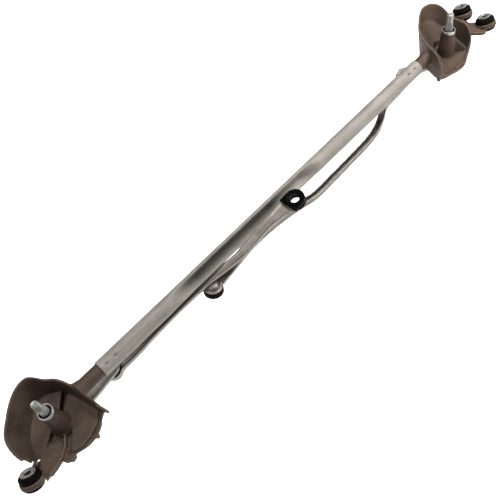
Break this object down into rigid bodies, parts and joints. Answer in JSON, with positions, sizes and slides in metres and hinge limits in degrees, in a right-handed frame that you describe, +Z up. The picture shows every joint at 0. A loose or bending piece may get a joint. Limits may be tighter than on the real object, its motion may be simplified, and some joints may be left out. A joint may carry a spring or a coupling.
{
  "type": "windshield wiper linkage",
  "caption": "Wiper linkage: a crimped tube joins two cast pivot housings; each carries a wiper shaft, crank lever and pressed drive rod, with rubber-bushed bolt eyes.",
  "frame": {"origin": "centre of the whole linkage's box at rest, which is close to the cross tube's axis", "axes": "+X along the cross tube from the left pivot to the right one, +Y to the back, so that the rods' inner sockets hang on the -Y side of the tube, +Z up, the way the wiper shafts point"},
  "size_m": [0.9513, 0.1092, 0.1011],
  "materials": {
    "cast_aluminium": "raw die-cast, brown-grey",
    "tube_steel": "bright drawn tube",
    "rod_steel": "pressed sheet, dull",
    "zinc_plate": "zinc plated",
    "plated_steel": "grey-green zinc plated",
    "bronze": "sintered bronze",
    "black_plastic": "black moulded",
    "black_rubber": "black moulded"
  },
  "bodies": {
    "frame": {"cross_tube": "tube_steel", "left_pivot_housing": "cast_aluminium", "right_pivot_housing": "cast_aluminium", "left_upper_bush": "bronze", "left_lower_bush": "bronze", "right_upper_bush": "bronze", "right_lower_bush": "bronze", "left_shaft_seal": "black_rubber", "right_shaft_seal": "black_rubber", "left_mount_grommet": "black_rubber", "left_mount_sleeve": "plated_steel", "right_mount_a_grommet": "black_rubber", "right_mount_a_sleeve": "plated_steel", "right_mount_b_grommet": "black_rubber", "right_mount_b_sleeve": "plated_steel"},
    "left_crank": {"left_pivot_shaft": "plated_steel", "left_shim_washer": "plated_steel", "left_retaining_ring": "plated_steel", "left_thrust_washer": "black_plastic", "left_crank_lever": "zinc_plate", "left_ball_stud": "plated_steel"},
    "left_rod": {"left_drive_rod": "rod_steel", "left_rod_outer_socket": "black_plastic", "left_rod_inner_socket": "black_plastic"},
    "right_crank": {"right_pivot_shaft": "plated_steel", "right_shim_washer": "plated_steel", "right_retaining_ring": "plated_steel", "right_thrust_washer": "black_plastic", "right_crank_lever": "zinc_plate", "right_ball_stud": "plated_steel"},
    "right_rod": {"right_drive_rod": "rod_steel", "right_rod_outer_socket": "black_plastic", "right_rod_inner_socket": "black_plastic"}
  },
  "joints": [
    {"name": "left_wiper_pivot", "type": "hinge", "parent": "frame", "child": "left_crank", "pos_m": [-0.3955, -0.0073, 0.0054], "axis": [-0.1478, 0, 0.989], "range_deg": [-110, 0]},
    {"name": "left_rod_swivel", "type": "hinge", "parent": "left_crank", "child": "left_rod", "pos_m": [-0.30252, 0.0022, -0.0349], "axis": [-0.1478, 0, 0.989], "range_deg": [-90, 0]},
    {"name": "right_wiper_pivot", "type": "hinge", "parent": "frame", "child": "right_crank", "pos_m": [0.3845, -0.0073, 0.0054], "axis": [0.1097, 0, 0.994], "range_deg": [0, 110]},
    {"name": "right_rod_swivel", "type": "hinge", "parent": "right_crank", "child": "right_rod", "pos_m": [0.31699, 0.0227, -0.04107], "axis": [0.1097, 0, 0.994], "range_deg": [-110, 60]}
  ]
}
